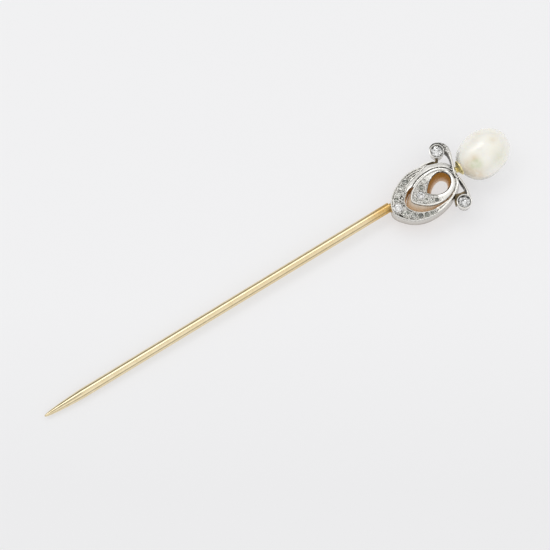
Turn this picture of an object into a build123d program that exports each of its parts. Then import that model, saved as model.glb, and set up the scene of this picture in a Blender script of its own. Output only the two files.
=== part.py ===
"""Hat pin with a pierced scroll head, pave-set diamonds and a drop pearl.

Frame: millimetres, +X along the stem from the point towards the pearl, +Z out
of the face of the head, +Y to the left of the head seen with the pearl up.
The origin is on the stem's axis where the stem meets the head.
"""
from build123d import *
import math
import os

os.makedirs("parts", exist_ok=True)

# ---------------------------------------------------------------- driving sizes
STEM_RADIUS = 0.64
STEM_LENGTH = 52.0            # free length, from the point to the head
POINT_LENGTH = 6.6            # long taper that ends in the point
POINT_RADIUS = 0.06
TANG_RADIUS = 0.40            # the end that is let into the back of the head
TANG_LENGTH = 2.0

GALLERY_HEIGHT = 1.30         # gold underbody of the outer loop, from Z = 0
PLATE_HEIGHT = 0.26           # white metal face sheet, drilled for the stones
RING_RISE = 0.25              # the inner ring stands this much higher
SEAT_DEPTH = 0.03             # the girdles sit this far below the face

COLLET_RADIUS = 1.00
COLLET_BASE_RADIUS = 0.86
COLLET_BOTTOM = 0.45
COLLET_HEIGHT = 1.50
COLLET_STONE_DIAMETER = 1.50
COLLET_LIP = 0.05             # the rim is rolled this far over the girdle
COLLET_BORE_RATIO = 0.72      # bore below the stone, against the stone's girdle
COLLET_CROWN_SHARE = 0.5      # part of the crown that stands above the rim
LEFT_COLLET_CENTRE = (9.24, 2.64)
RIGHT_COLLET_CENTRE = (8.56, -5.01)

LEFT_SCROLL_BOTTOM = 1.30     # passes over the foot of the pearl's peg
LEFT_SCROLL_TOP = 2.15
RIGHT_SCROLL_BOTTOM = 0.80
RIGHT_SCROLL_TOP = 1.65
LINK_BOTTOM = 0.35
LINK_HEIGHT = 0.80
LINK_WIDTH = 0.50
LINK_FEET = {"left": (8.30, 1.10), "right": (7.85, -3.45)}

PEARL_CENTRE = (14.26, -0.62, 0.95)
PEARL_LENGTH = 7.50
PEARL_WIDTH = 6.00
PEG_RADIUS = 0.35
PEG_START = 9.62
PEG_DEPTH = 3.2               # how far the peg reaches into the drilled pearl
CUP_RADIUS = 1.00
CUP_FOOT_RADIUS = 0.48
CUP_FOOT = 10.28              # X of the flat foot of the cup
CUP_RIM = 10.60               # X where the flare ends and the short skirt starts
CUP_SKIRT = 0.20
NECK_START = 9.90             # X of the neck's seat on the head
NECK_RADIUS = 0.44
NECK_END_RATIO = 0.6          # radius of the bead's flat ends, against its middle

# Proportions of an old-cut diamond, as fractions of its girdle diameter.
TABLE_RATIO = 0.50
CROWN_RATIO = 0.17
GIRDLE_RATIO = 0.03
PAVILION_RATIO = 0.42
AZURE_RATIO = 0.62            # drilled hole under a stone, against its girdle

# Levels worked out from the sizes above.
RING_GALLERY_HEIGHT = GALLERY_HEIGHT + RING_RISE
PLATE_TOP = GALLERY_HEIGHT + PLATE_HEIGHT
RING_TOP = RING_GALLERY_HEIGHT + PLATE_HEIGHT
GIRDLE_LEVEL = PLATE_TOP - SEAT_DEPTH
RING_GIRDLE_LEVEL = RING_TOP - SEAT_DEPTH
COLLET_TOP = COLLET_BOTTOM + COLLET_HEIGHT

# ------------------------------------------------- outlines of the head, in plan
OUTER_LOOP = [
    (0.00, -1.15), (0.75, 0.33), (2.45, 1.56), (4.35, 2.17), (6.20, 2.04),
    (7.90, 1.50), (9.25, 0.86), (9.80, -0.10), (9.80, -1.30), (9.34, -2.42),
    (8.10, -3.50), (6.50, -4.18), (4.80, -4.46), (3.20, -4.33), (1.70, -3.68),
    (0.46, -2.45),
]
INNER_RING = [
    (2.80, -1.25), (3.25, -0.50), (4.10, 0.12), (5.05, 0.56), (6.00, 0.76),
    (7.00, 0.79), (7.88, 0.63), (8.60, 0.22), (9.12, -0.45), (9.31, -1.18),
    (9.18, -1.90), (8.76, -2.56), (8.08, -3.08), (7.20, -3.42), (6.20, -3.54),
    (5.20, -3.41), (4.30, -3.03), (3.40, -2.30), (2.92, -1.75),
]
RING_HOLE = [
    (5.10, -1.50), (5.80, -0.66), (6.60, -0.10), (7.32, 0.12), (7.98, 0.06),
    (8.50, -0.32), (8.76, -0.95), (8.58, -1.70), (8.10, -2.22), (7.45, -2.50),
    (6.80, -2.54), (6.00, -2.26), (5.10, -1.50),
]
GAP_FAR_SIDE = [
    (8.40, -2.95), (7.80, -3.35), (7.05, -3.62), (5.90, -3.80), (4.60, -3.72),
    (3.30, -3.28), (2.32, -2.43), (1.95, -1.50), (2.12, -0.80), (2.78, -0.14),
    (3.34, 0.20), (3.86, 0.26), (4.30, 0.02),
]
GAP_UNDER_RING = [(5.20, -0.60), (6.20, -2.60)]
BAND_LEFT_EDGE = [
    (9.60, 1.10), (8.40, 1.38), (7.16, 1.74), (6.18, 1.52), (4.86, 1.19), (3.70, 0.84), (2.86, 0.14),
]
BAND_RIGHT_SIDE = [(3.60, -0.60), (8.00, -0.90), (10.20, -0.60)]

LEFT_SCROLL_OUTSIDE = [
    (8.60, 3.48), (9.30, 3.72), (9.98, 3.50), (10.52, 2.98), (10.75, 2.19),
    (10.62, 1.39), (10.28, 0.55), (9.98, -0.20), (9.74, -0.95), (9.40, -1.72),
]
LEFT_SCROLL_INSIDE = [
    (9.30, -1.60), (9.48, -0.78), (9.78, -0.08), (10.01, 0.62), (10.16, 1.50), (9.24, 2.64),
]
RIGHT_SCROLL_OUTSIDE = [
    (9.30, -5.62), (9.60, -5.10), (9.76, -4.50), (9.86, -3.90), (9.92, -3.20), (9.93, -2.40), (9.84, -1.40),
]
RIGHT_SCROLL_INSIDE = [(9.55, -1.60), (9.64, -2.45), (9.66, -3.20), (9.58, -3.85), (8.56, -5.01)]

# Diamonds: name, place of the centre in plan, girdle diameter.
CRESCENT_DIAMONDS = [
    ("crescent_centre_diamond", (0.84, -1.16), 1.36),
    ("crescent_left_diamond_1", (1.24, -0.08), 0.66),
    ("crescent_left_diamond_2", (1.84, 0.40), 0.74),
    ("crescent_left_diamond_3", (2.64, 0.92), 0.86),
    ("crescent_left_diamond_4", (3.56, 1.39), 0.98),
    ("crescent_right_diamond_1", (1.36, -2.38), 0.96),
    ("crescent_right_diamond_2", (2.03, -3.07), 0.80),
    ("crescent_right_diamond_3", (2.78, -3.62), 0.78),
    ("crescent_right_diamond_4", (3.56, -3.90), 0.70),
    ("crescent_right_diamond_5", (4.26, -4.05), 0.56),
]
RING_DIAMONDS = [
    ("ring_centre_diamond", (4.24, -1.34), 1.16),
    ("ring_point_diamond", (3.38, -1.38), 0.46),
    ("ring_left_diamond_1", (4.84, -0.44), 0.72),
    ("ring_left_diamond_2", (5.58, 0.07), 0.62),
    ("ring_right_diamond_1", (4.42, -2.28), 0.64),
    ("ring_right_diamond_2", (5.02, -2.70), 0.62),
    ("ring_right_diamond_3", (5.66, -2.93), 0.54),
]


# ------------------------------------------------------------- shared outlines
def closed_curve(points):
    """Return the face inside one smooth closed curve."""
    with BuildSketch() as outline:
        with BuildLine():
            Spline(*points, periodic=True)
        make_face()
    return outline.sketch


def two_curves(first, second):
    """Return the face between two smooth curves that are joined end to end."""
    with BuildSketch() as outline:
        with BuildLine():
            Spline(*first)
            if second[0] != first[-1]:
                Line(first[-1], second[0])
            Spline(*second)
            if second[-1] != first[0]:
                Line(second[-1], first[0])
        make_face()
    return outline.sketch


def curve_and_straights(curve, corners):
    """Return the face between a smooth curve and a run of straight lines."""
    with BuildSketch() as outline:
        with BuildLine():
            Spline(*curve)
            Polyline(curve[-1], *corners, curve[0])
        make_face()
    return outline.sketch


outer_loop = closed_curve(OUTER_LOOP)
inner_ring = closed_curve(INNER_RING)
gap = curve_and_straights(GAP_FAR_SIDE, GAP_UNDER_RING)
band_area = curve_and_straights(BAND_LEFT_EDGE, BAND_RIGHT_SIDE)

with BuildSketch() as ring_hole:
    with BuildLine():
        Spline(*RING_HOLE)
    make_face()

with BuildSketch() as loop_area:
    add(outer_loop)
    add(inner_ring, mode=Mode.SUBTRACT)
    add(gap, mode=Mode.SUBTRACT)

with BuildSketch() as ring_area:
    add(inner_ring)
    add(ring_hole.sketch, mode=Mode.SUBTRACT)


# -------------------------------------------------------------------- diamonds
def diamond(centre, diameter, girdle_level):
    """Return a round old-cut stone with its girdle at girdle_level."""
    radius = diameter / 2
    crown = girdle_level + (GIRDLE_RATIO + CROWN_RATIO) * diameter
    axis_plane = Plane(origin=(centre[0], centre[1], 0), x_dir=(1, 0, 0), z_dir=(0, -1, 0))
    with BuildPart() as stone:
        with BuildSketch(axis_plane):
            with BuildLine():
                Polyline(
                    (0, girdle_level - PAVILION_RATIO * diameter),
                    (radius, girdle_level),
                    (radius, girdle_level + GIRDLE_RATIO * diameter),
                    (TABLE_RATIO * radius, crown),
                    (0, crown),
                    close=True,
                )
            make_face()
        revolve(axis=Axis((centre[0], centre[1], 0), (0, 0, 1)))
    return stone.part


def diamonds_at(rows, girdle_level):
    """Return the stones of one plate as (name, centre, diameter, part)."""
    return [(name, centre, size, diamond(centre, size, girdle_level)) for name, centre, size in rows]


crescent_diamonds = diamonds_at(CRESCENT_DIAMONDS, GIRDLE_LEVEL)
ring_diamonds = diamonds_at(RING_DIAMONDS, RING_GIRDLE_LEVEL)


def azure_holes(rows, height):
    """Return the drilled holes under the stones of one plate."""
    with BuildPart() as drilled:
        for _, centre, size, _ in rows:
            with BuildSketch(Plane(origin=(centre[0], centre[1], 0))):
                Circle(AZURE_RATIO * size / 2)
            extrude(amount=height)
    return drilled.part


# ------------------------------------------------------------------------ stem
with BuildPart() as pin_stem:
    with BuildSketch(Plane.XZ):
        with BuildLine():
            Polyline(
                (-STEM_LENGTH, 0),
                (-STEM_LENGTH, POINT_RADIUS),
                (-STEM_LENGTH + POINT_LENGTH, STEM_RADIUS),
                (0, STEM_RADIUS),
                (0, TANG_RADIUS),
                (TANG_LENGTH, TANG_RADIUS),
                (TANG_LENGTH, 0),
                close=True,
            )
        make_face()
    revolve(axis=Axis.X)
pin_stem.part.label = "pin_stem"
export_step(pin_stem.part, "parts/pin_stem.step")

# ------------------------------------------------- gold underbody of the loops
crescent_azures = azure_holes(crescent_diamonds, GALLERY_HEIGHT)
ring_azures = azure_holes(ring_diamonds, RING_GALLERY_HEIGHT)

with BuildPart() as peg_blank:
    with BuildSketch(Plane(origin=(PEG_START, PEARL_CENTRE[1], PEARL_CENTRE[2]), z_dir=(1, 0, 0))):
        Circle(PEG_RADIUS)
    extrude(amount=PEARL_CENTRE[0] - PEARL_LENGTH / 2 + PEG_DEPTH - PEG_START)

with BuildPart() as crescent_gallery:
    with BuildSketch():
        add(loop_area.sketch)
    extrude(amount=GALLERY_HEIGHT)
    add(pin_stem.part, mode=Mode.SUBTRACT)
    add(crescent_azures, mode=Mode.SUBTRACT)
    add(peg_blank.part, mode=Mode.SUBTRACT)
crescent_gallery.part.label = "crescent_gallery"
export_step(crescent_gallery.part, "parts/crescent_gallery.step")

with BuildPart() as ring_gallery:
    with BuildSketch():
        add(ring_area.sketch)
    extrude(amount=RING_GALLERY_HEIGHT)
    add(ring_azures, mode=Mode.SUBTRACT)
ring_gallery.part.label = "ring_gallery"
export_step(ring_gallery.part, "parts/ring_gallery.step")

# ------------------------------------------------------- white metal face parts
with BuildSketch() as crescent_area:
    add(loop_area.sketch)
    add(band_area, mode=Mode.SUBTRACT)

with BuildPart() as crescent_top:
    with BuildSketch(Plane.XY.offset(GALLERY_HEIGHT)):
        add(crescent_area.sketch)
    extrude(amount=PLATE_HEIGHT)
    for _, _, _, stone in crescent_diamonds:
        add(stone, mode=Mode.SUBTRACT)
crescent_top.part.label = "crescent_top"
export_step(crescent_top.part, "parts/crescent_top.step")

with BuildPart() as left_band:
    with BuildSketch(Plane.XY.offset(GALLERY_HEIGHT)):
        add(loop_area.sketch)
        add(band_area, mode=Mode.INTERSECT)
    extrude(amount=PLATE_HEIGHT)
left_band.part.label = "left_band"
export_step(left_band.part, "parts/left_band.step")

with BuildPart() as ring_top:
    with BuildSketch(Plane.XY.offset(RING_GALLERY_HEIGHT)):
        add(ring_area.sketch)
    extrude(amount=PLATE_HEIGHT)
    for _, _, _, stone in ring_diamonds:
        add(stone, mode=Mode.SUBTRACT)
ring_top.part.label = "ring_top"
export_step(ring_top.part, "parts/ring_top.step")

for name, _, _, stone in crescent_diamonds + ring_diamonds:
    stone.label = name
    export_step(stone, f"parts/{name}.step")


# ---------------------------------------------------- collets and their stones
def collet_stone(centre):
    """Return the stone held in one collet, with its crown just proud of the rim."""
    sunk = (1 - COLLET_CROWN_SHARE) * CROWN_RATIO + GIRDLE_RATIO
    girdle = COLLET_TOP - sunk * COLLET_STONE_DIAMETER
    return diamond(centre, COLLET_STONE_DIAMETER, girdle)


def collet(centre, stone):
    """Return the tapered tube that holds one stone under its rolled rim."""
    x, y = centre
    mouth = COLLET_STONE_DIAMETER / 2 - COLLET_LIP
    bore = COLLET_BORE_RATIO * COLLET_STONE_DIAMETER / 2
    with BuildPart() as tube:
        with BuildSketch(Plane(origin=(x, y, COLLET_BOTTOM))):
            Circle(COLLET_BASE_RADIUS)
        with BuildSketch(Plane(origin=(x, y, COLLET_TOP))):
            Circle(COLLET_RADIUS)
        loft()
        with BuildSketch(Plane(origin=(x, y, COLLET_BOTTOM))):
            Circle(bore)
        extrude(amount=COLLET_HEIGHT, mode=Mode.SUBTRACT)
        with BuildSketch(Plane(origin=(x, y, COLLET_TOP))):
            Circle(mouth)
        extrude(amount=-CROWN_RATIO * COLLET_STONE_DIAMETER, mode=Mode.SUBTRACT)
        add(stone, mode=Mode.SUBTRACT)
    return tube.part


collets = {}
for side, place in (("left", LEFT_COLLET_CENTRE), ("right", RIGHT_COLLET_CENTRE)):
    held_stone = collet_stone(place)
    held_stone.label = f"{side}_collet_diamond"
    export_step(held_stone, f"parts/{side}_collet_diamond.step")
    collets[side] = collet(place, held_stone)
    collets[side].label = f"{side}_collet"
    export_step(collets[side], f"parts/{side}_collet.step")


def collet_room(centre):
    """Return the whole space inside one collet's outer wall, for cutting neighbours."""
    with BuildPart() as room:
        with BuildSketch(Plane(origin=(centre[0], centre[1], COLLET_BOTTOM))):
            Circle(COLLET_BASE_RADIUS)
        with BuildSketch(Plane(origin=(centre[0], centre[1], COLLET_TOP))):
            Circle(COLLET_RADIUS)
        loft()
        with BuildSketch(Plane(origin=(centre[0], centre[1], COLLET_TOP))):
            Circle(COLLET_RADIUS)
        extrude(amount=COLLET_HEIGHT)
    return room.part


# ------------------------------------------------------------ scrolls and links
loop_parts = [crescent_gallery.part, crescent_top.part, left_band.part]
ring_parts = [ring_gallery.part, ring_top.part]

with BuildPart() as right_scroll:
    with BuildSketch(Plane.XY.offset(RIGHT_SCROLL_BOTTOM)):
        add(two_curves(RIGHT_SCROLL_OUTSIDE, RIGHT_SCROLL_INSIDE))
        add(outer_loop, mode=Mode.SUBTRACT)
    extrude(amount=RIGHT_SCROLL_TOP - RIGHT_SCROLL_BOTTOM)
    add(collet_room(RIGHT_COLLET_CENTRE), mode=Mode.SUBTRACT)
right_scroll.part.label = "right_scroll"
export_step(right_scroll.part, "parts/right_scroll.step")

with BuildPart() as left_scroll:
    with BuildSketch(Plane.XY.offset(LEFT_SCROLL_BOTTOM)):
        add(two_curves(LEFT_SCROLL_OUTSIDE, LEFT_SCROLL_INSIDE))
        add(inner_ring, mode=Mode.SUBTRACT)
    extrude(amount=LEFT_SCROLL_TOP - LEFT_SCROLL_BOTTOM)
    for neighbour in loop_parts + ring_parts + [right_scroll.part, collet_room(LEFT_COLLET_CENTRE)]:
        add(neighbour, mode=Mode.SUBTRACT)
left_scroll.part.label = "left_scroll"
export_step(left_scroll.part, "parts/left_scroll.step")


def link_bar(collet_centre, foot, inside):
    """Return the short bar from a collet to the outer loop's wall."""
    length = math.dist(collet_centre, foot)
    turn = math.degrees(math.atan2(foot[1] - collet_centre[1], foot[0] - collet_centre[0]))
    with BuildPart() as bar:
        with BuildSketch(Plane.XY.offset(LINK_BOTTOM)):
            with Locations(Location((collet_centre[0], collet_centre[1], 0), (0, 0, turn))):
                Rectangle(length, LINK_WIDTH, align=(Align.MIN, Align.CENTER))
            add(outer_loop, mode=Mode.SUBTRACT)
            with Locations(collet_centre):
                Circle(COLLET_BASE_RADIUS, mode=Mode.SUBTRACT)
        extrude(amount=LINK_HEIGHT)
        add(inside, mode=Mode.SUBTRACT)
    return bar.part


for side, place in (("left", LEFT_COLLET_CENTRE), ("right", RIGHT_COLLET_CENTRE)):
    bar = link_bar(place, LINK_FEET[side], collet_room(place))
    bar.label = f"{side}_link_bar"
    export_step(bar, f"parts/{side}_link_bar.step")

# ------------------------------------------------------- pearl, cup, neck and peg
pearl_start = PEARL_CENTRE[0] - PEARL_LENGTH / 2
pearl_line = Axis(PEARL_CENTRE, (1, 0, 0))
pearl_plane = Plane(origin=PEARL_CENTRE, x_dir=(1, 0, 0), z_dir=(0, -1, 0))

with BuildPart() as pearl_peg:
    add(peg_blank.part)
pearl_peg.part.label = "pearl_peg"
export_step(pearl_peg.part, "parts/pearl_peg.step")

with BuildPart() as pearl:
    with BuildSketch(pearl_plane):
        Ellipse(PEARL_LENGTH / 2, PEARL_WIDTH / 2)
        with Locations((0, -PEARL_WIDTH)):
            Rectangle(2 * PEARL_LENGTH, 2 * PEARL_WIDTH, mode=Mode.SUBTRACT)
    revolve(axis=pearl_line)
    add(peg_blank.part, mode=Mode.SUBTRACT)
pearl.part.label = "pearl"
export_step(pearl.part, "parts/pearl.step")

with BuildPart() as pearl_cup:
    with BuildSketch(Plane(origin=(CUP_FOOT, PEARL_CENTRE[1], PEARL_CENTRE[2]), z_dir=(1, 0, 0))):
        Circle(CUP_FOOT_RADIUS)
    with BuildSketch(Plane(origin=(CUP_RIM, PEARL_CENTRE[1], PEARL_CENTRE[2]), z_dir=(1, 0, 0))):
        Circle(CUP_RADIUS)
    loft()
    with BuildSketch(Plane(origin=(CUP_RIM, PEARL_CENTRE[1], PEARL_CENTRE[2]), z_dir=(1, 0, 0))):
        Circle(CUP_RADIUS)
    extrude(amount=CUP_SKIRT)
    add(pearl.part, mode=Mode.SUBTRACT)
    add(peg_blank.part, mode=Mode.SUBTRACT)
pearl_cup.part.label = "pearl_cup"
export_step(pearl_cup.part, "parts/pearl_cup.step")

with BuildPart() as neck_bead:
    with BuildSketch(pearl_plane):
        with BuildLine():
            start = NECK_START - PEARL_CENTRE[0]
            end = CUP_FOOT - PEARL_CENTRE[0]
            side = NECK_END_RATIO * NECK_RADIUS
            Polyline((start, side), (start, 0), (end, 0), (end, side))
            ThreePointArc((end, side), ((start + end) / 2, NECK_RADIUS), (start, side))
        make_face()
    revolve(axis=pearl_line)
    add(peg_blank.part, mode=Mode.SUBTRACT)
neck_bead.part.label = "neck_bead"
export_step(neck_bead.part, "parts/neck_bead.step")
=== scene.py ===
"""Looks of the hat pin: scroll head in white metal on gold, diamonds, baroque pearl and gold stem.

Lengths inside this script are millimetres in the frame of the CAD part; meshes are
scaled to metres when they are made.
"""
import math
import random

import bmesh
import bpy
import numpy as np
from mathutils import Matrix, Vector
from mathutils.geometry import delaunay_2d_cdt


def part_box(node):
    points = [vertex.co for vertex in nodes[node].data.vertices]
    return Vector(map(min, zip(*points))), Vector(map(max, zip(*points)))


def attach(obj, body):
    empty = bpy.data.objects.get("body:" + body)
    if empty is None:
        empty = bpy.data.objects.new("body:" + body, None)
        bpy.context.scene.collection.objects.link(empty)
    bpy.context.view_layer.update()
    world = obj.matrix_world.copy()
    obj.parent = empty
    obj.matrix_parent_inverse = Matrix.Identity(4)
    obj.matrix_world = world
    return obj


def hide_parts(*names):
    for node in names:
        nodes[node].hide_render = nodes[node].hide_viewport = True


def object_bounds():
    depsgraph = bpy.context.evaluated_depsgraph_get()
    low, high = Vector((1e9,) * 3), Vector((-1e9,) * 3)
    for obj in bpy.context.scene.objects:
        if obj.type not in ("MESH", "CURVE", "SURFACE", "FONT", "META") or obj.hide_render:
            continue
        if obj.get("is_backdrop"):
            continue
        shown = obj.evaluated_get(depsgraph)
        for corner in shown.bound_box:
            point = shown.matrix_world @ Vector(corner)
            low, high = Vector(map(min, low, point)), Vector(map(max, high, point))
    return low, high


MM = 0.001
UPRIGHT = 0.35                # faces whose normal rises less than this count as walls
BATCH = 2000                  # points measured at a time, to keep arrays small
OUTLINE_STEP = 0.012          # spacing of the outlines that distances are measured to
WALL_STEP = 0.05              # spacing of points along the galleries' walls
WALL_LAYERS = 9               # levels down a gallery's wall
SKIRT_LAYERS = 5              # levels down the outer loop's side wall
RIM_WIDTH = 0.15              # the bright raised edge of a plate carries no dirt or painted shade
SMOOTH = 180                  # smoothing angle of a piece without sharp edges
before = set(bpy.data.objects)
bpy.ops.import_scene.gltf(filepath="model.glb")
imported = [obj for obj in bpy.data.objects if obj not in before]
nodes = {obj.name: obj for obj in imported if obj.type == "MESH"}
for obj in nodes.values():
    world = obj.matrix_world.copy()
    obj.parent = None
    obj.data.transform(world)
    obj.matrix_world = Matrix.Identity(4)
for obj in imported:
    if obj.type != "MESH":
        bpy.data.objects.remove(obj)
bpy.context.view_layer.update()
random.seed(7)
noise_source = np.random.default_rng(11)


# ---- frame facts
def box_mm(node):
    """Return the lowest and highest corner of a CAD node in millimetres."""
    low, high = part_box(node)
    return np.array(low) / MM, np.array(high) / MM


def slice_loops(node, level):
    """Return the closed outlines of a CAD node at a height, largest first, as (n, 2) arrays."""
    bm = bmesh.new()
    bm.from_mesh(nodes[node].data)
    bm.transform(Matrix.Scale(1 / MM, 4))
    bmesh.ops.remove_doubles(bm, verts=bm.verts, dist=1e-4)
    everything = bm.verts[:] + bm.edges[:] + bm.faces[:]
    bmesh.ops.bisect_plane(
        bm, geom=everything, dist=1e-5, plane_co=(0, 0, level), plane_no=(0, 0, 1),
        clear_inner=True, clear_outer=True,
    )
    links = {v: [e.other_vert(v) for e in v.link_edges] for v in bm.verts}
    loops = []
    waiting = dict.fromkeys(v for v in links if len(links[v]) == 2)    # keeps its order, unlike a set
    while waiting:
        start, _ = waiting.popitem()
        chain = [start]
        step = links[start][0]
        previous = start
        while step is not start and step in waiting:
            del waiting[step]
            chain.append(step)
            ahead = [v for v in links[step] if v is not previous]
            previous = step
            if not ahead:
                break
            step = ahead[0]
        if len(chain) > 3:
            loops.append(np.array([(v.co.x, v.co.y) for v in chain]))
    bm.free()
    return sorted(loops, key=lambda loop: -abs(area(loop)))


def area(loop):
    """Return the signed area inside a closed outline."""
    x, y = loop[:, 0], loop[:, 1]
    return 0.5 * float(np.sum(x * np.roll(y, -1) - y * np.roll(x, -1)))


def resample(loop, spacing, soften=0.0):
    """Return a closed outline with evenly spaced points, its facets smoothed over a length."""
    closed = np.vstack([loop, loop[:1]])
    steps = np.hypot(*np.diff(closed, axis=0).T)
    along = np.concatenate([[0], np.cumsum(steps)])
    count = max(12, int(round(along[-1] / spacing)))
    places = np.linspace(0, along[-1], count, endpoint=False)
    even = np.column_stack([np.interp(places, along, closed[:, i]) for i in (0, 1)])
    if soften > 0:
        reach = max(1, int(round(3 * soften / spacing)))
        offsets = np.arange(-reach, reach + 1)
        weights = np.exp(-0.5 * (offsets * spacing / soften) ** 2)
        weights /= weights.sum()
        even = sum(w * np.roll(even, -o, axis=0) for w, o in zip(weights, offsets))
    return even


def inside(points, loops):
    """Return which points lie inside the outlines, by the even-odd rule."""
    crossings = np.zeros(len(points), int)
    for loop in loops:
        a, b = loop, np.roll(loop, -1, axis=0)
        rise = b[:, 1] - a[:, 1]
        rise = np.where(rise == 0, 1e-12, rise)
        for start in range(0, len(points), BATCH):
            p = points[start:start + BATCH]
            spans = (a[None, :, 1] > p[:, None, 1]) != (b[None, :, 1] > p[:, None, 1])
            x_cross = a[:, 0] + (p[:, None, 1] - a[:, 1]) * (b[:, 0] - a[:, 0]) / rise
            crossings[start:start + BATCH] += np.sum(spans & (p[:, None, 0] < x_cross), axis=1)
    return crossings % 2 == 1


def distance(points, line):
    """Return each point's distance to the nearest point of a dense line."""
    nearest = np.empty(len(points))
    for start in range(0, len(points), BATCH):
        p = points[start:start + BATCH]
        gaps = (p[:, None, 0] - line[None, :, 0]) ** 2 + (p[:, None, 1] - line[None, :, 1]) ** 2
        nearest[start:start + BATCH] = np.sqrt(gaps.min(axis=1))
    return nearest


def inset(loop, amount):
    """Return an outline moved inwards by an amount."""
    ahead = np.roll(loop, -1, axis=0) - np.roll(loop, 1, axis=0)
    ahead /= np.hypot(ahead[:, 0], ahead[:, 1])[:, None]
    side = np.column_stack([-ahead[:, 1], ahead[:, 0]])
    if area(loop) < 0:
        side = -side
    return loop + side * amount


def smooth_step(value, start, end):
    """Return 0 before start, 1 after end and a soft change between."""
    t = np.clip((value - start) / (end - start), 0, 1)
    return t * t * (3 - 2 * t)


# ---- mesh makers
def add_object(name, vertices, faces, material, smooth_angle=35):
    """Make a mesh object from millimetre vertices, smooth except at edges sharper than an angle."""
    mesh = bpy.data.meshes.new(name)
    mesh.from_pydata([tuple(float(c) * MM for c in v) for v in vertices], [], [tuple(f) for f in faces])
    mesh.validate()
    mesh.materials.append(material)
    if smooth_angle:
        mesh.polygons.foreach_set("use_smooth", [True] * len(mesh.polygons))
        mesh.set_sharp_from_angle(angle=math.radians(smooth_angle))
    obj = bpy.data.objects.new(name, mesh)
    bpy.context.scene.collection.objects.link(obj)
    return obj


def corner_vertices(mesh):
    """Return the vertex that each corner of a mesh belongs to."""
    vertex = np.empty(len(mesh.loops), int)
    mesh.loops.foreach_get("vertex_index", vertex)
    return vertex


def store(mesh, name, domain, values):
    """Store a number for each point or corner of a mesh."""
    layer = mesh.attributes.get(name) or mesh.attributes.new(name, "FLOAT", domain)
    layer.data.foreach_set("value", np.asarray(values, np.float32))


def set_dirt_and_painted_light(obj, values, wall=None):
    """Store how much dirt and painted shade each corner carries, from 0 to 1, with one value for upright
    walls.
    """
    mesh = obj.data
    shade = np.asarray(values, np.float32)[corner_vertices(mesh)]
    if wall is not None:
        upright = np.array([abs(polygon.normal.z) < UPRIGHT for polygon in mesh.polygons])
        shade[np.repeat(upright, [polygon.loop_total for polygon in mesh.polygons])] = wall
    store(mesh, "dirt_and_painted_light", "CORNER", shade)


def face_outwards(obj):
    """Turn every face of a closed mesh outwards."""
    bm = bmesh.new()
    bm.from_mesh(obj.data)
    bmesh.ops.recalc_face_normals(bm, faces=bm.faces)
    bm.to_mesh(obj.data)
    bm.free()
    return obj


def finish_piece(obj, slot, *replaced):
    """Ride a piece on the one body and hide the CAD nodes it stands for; the slot is not used."""
    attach(obj, "root")
    if replaced:
        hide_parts(*replaced)
    return obj


def triangulate(loops, inner_points):
    """Return plan points and triangles that fill the area between outlines."""
    points = [Vector(p) for p in np.vstack(loops + ([inner_points] if len(inner_points) else []))]
    edges = []
    first = 0
    for loop in loops:
        edges += [(first + i, first + (i + 1) % len(loop)) for i in range(len(loop))]
        first += len(loop)
    flat, _, triangles, _, _, _ = delaunay_2d_cdt(points, edges, [], 0, 1e-6)
    flat = np.array([tuple(p) for p in flat])
    triangles = np.array([t for t in triangles if len(t) == 3])
    triangles = triangles[inside(flat[triangles].mean(axis=1), loops)]
    used, triangles = np.unique(triangles, return_inverse=True)
    return flat[used], triangles.reshape(-1, 3)


def border_edges(triangles):
    """Return the directed edges that only one triangle uses."""
    directed = {(a, b) for t in triangles for a, b in ((t[0], t[1]), (t[1], t[2]), (t[2], t[0]))}
    return [(a, b) for a, b in directed if (b, a) not in directed]


def relief(name, loops, top, bottom, height, material, spacing,
           seats=(), depth=0.14, painted_wall_shade=1.0, deepest=0.85):
    """Make a closed plate whose face rises above a level by height(points, edge distance).

    The face carries how far each point lies below the borders, for dirt and painted shade in the
    hollows, or one value all over when no depth is given. The walls get painted shade.
    """
    rims = [resample(loop, spacing) for loop in loops] + list(seats)
    dense = np.vstack([resample(loop, OUTLINE_STEP) for loop in loops])
    walls = np.vstack([dense] + list(seats))
    low, high = np.vstack(rims).min(axis=0), np.vstack(rims).max(axis=0)
    rows = []
    row_gap = spacing * math.sqrt(3) / 2
    for j in range(int((high[1] - low[1]) / row_gap) + 1):
        xs = np.arange(low[0] + 0.5 * spacing * (j % 2), high[0], spacing)
        rows.append(np.column_stack([xs, np.full(len(xs), low[1] + j * row_gap)]))
    grid = np.vstack(rows)
    grid = grid[inside(grid, rims)]
    grid = grid[distance(grid, walls) > 0.6 * spacing]
    flat, triangles = triangulate(rims, grid)
    edge_distance = distance(flat, dense)
    edge_distance[edge_distance < 0.35 * spacing] = 0
    rise = height(flat, edge_distance)
    count = len(flat)
    upper = np.column_stack([flat, top + rise])
    lower = np.column_stack([flat, bottom(flat) if callable(bottom) else np.full(count, bottom)])
    faces = [tuple(t) for t in triangles]
    faces += [(t[2] + count, t[1] + count, t[0] + count) for t in triangles]
    faces += [(b, a, a + count, b + count) for a, b in border_edges(triangles)]
    obj = add_object(name, np.vstack([upper, lower]), faces, material, 50)
    dirt_and_painted_light = deepest * np.clip(1 - rise / depth, 0, 1) if depth else np.full(count, deepest)
    if depth:
        dirt_and_painted_light *= smooth_step(edge_distance, 0.5 * RIM_WIDTH, RIM_WIDTH)
    set_dirt_and_painted_light(obj, np.concatenate([dirt_and_painted_light, np.full(count, painted_wall_shade)]), painted_wall_shade)
    return obj


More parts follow.
